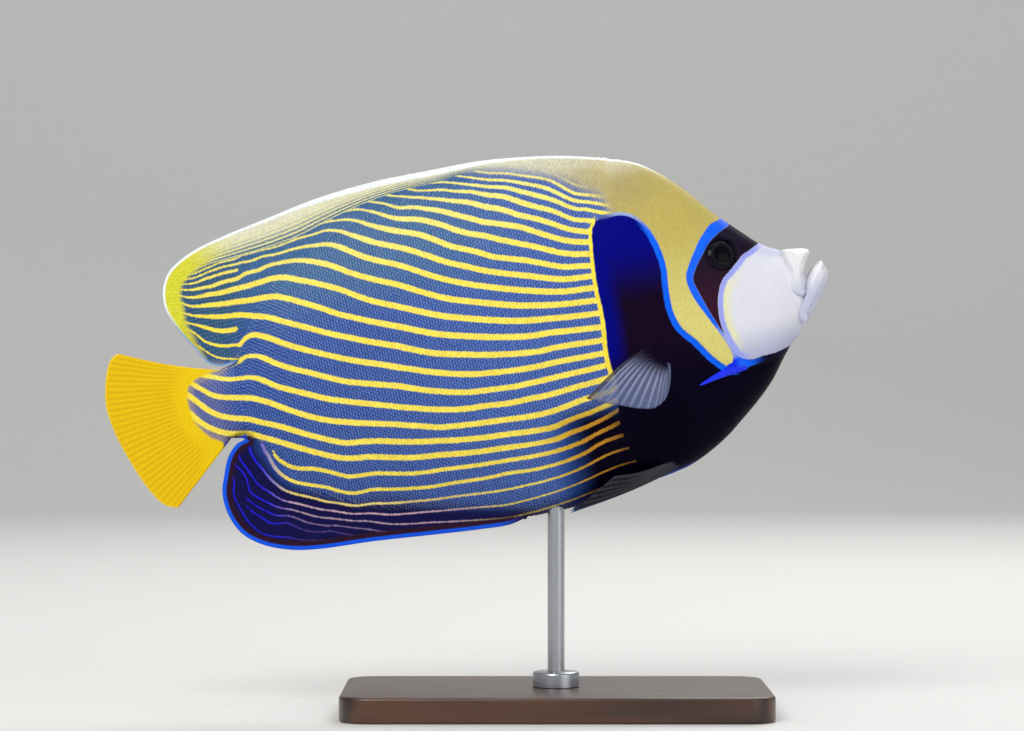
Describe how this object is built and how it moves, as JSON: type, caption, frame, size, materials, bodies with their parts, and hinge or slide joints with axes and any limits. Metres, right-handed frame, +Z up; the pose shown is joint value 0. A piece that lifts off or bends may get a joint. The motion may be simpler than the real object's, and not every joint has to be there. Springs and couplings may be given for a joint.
{
  "type": "emperor angelfish model on a display stand",
  "caption": "Life-size adult emperor angelfish swimming nose-up, fins spread, held by one steel rod on a flat wooden base.",
  "frame": {"origin": "centre of the flat underside of the stand base, straight below the rod", "axes": "+X towards the fish's nose, +Y to the fish's left, +Z up; the fish is pitched 12 degrees nose-up about Y"},
  "size_m": [0.3414, 0.1604, 0.2614],
  "materials": {
    "face_skin": "pale grey-white scaled skin with a dark eye mask and blue lines, moist sheen",
    "lip_skin": "smooth pale folded lips",
    "flank_skin": "blue scaled skin with fine yellow stripes, moist sheen",
    "gill_cover_skin": "fine-scaled yellow-khaki skin edged with blue",
    "dorsal_membrane": "ribbed fin membrane, blue and yellow stripes with a pale margin",
    "anal_membrane": "ribbed dark navy fin membrane with blue lines",
    "caudal_membrane": "ribbed yellow-orange fin membrane",
    "pectoral_membrane": "thin see-through grey-blue fin membrane with pale rays",
    "pelvic_membrane": "ribbed dark fin membrane with a blue leading edge",
    "cheek_spine": "smooth bright blue spine",
    "eye": "dark glossy eye",
    "base_wood": "dark walnut, satin lacquer",
    "stand_steel": "satin stainless steel"
  },
  "bodies": {
    "root": {"head": "face_skin", "upper_jaw": "lip_skin", "lower_jaw": "lip_skin", "torso": "flank_skin", "tail_stem": "flank_skin", "dorsal_fin_spiny": "dorsal_membrane", "dorsal_fin_soft": "dorsal_membrane", "anal_fin": "anal_membrane", "caudal_fin": "caudal_membrane", "gill_cover_right": "gill_cover_skin", "gill_cover_left": "gill_cover_skin", "eye_right": "eye", "eye_left": "eye", "cheek_spine_right": "cheek_spine", "cheek_spine_left": "cheek_spine", "pectoral_fin_right": "pectoral_membrane", "pectoral_fin_left": "pectoral_membrane", "pelvic_fin_right": "pelvic_membrane", "pelvic_fin_left": "pelvic_membrane", "stand_base": "base_wood", "stand_collar": "stand_steel", "stand_rod": "stand_steel"}
  },
  "joints": []
}
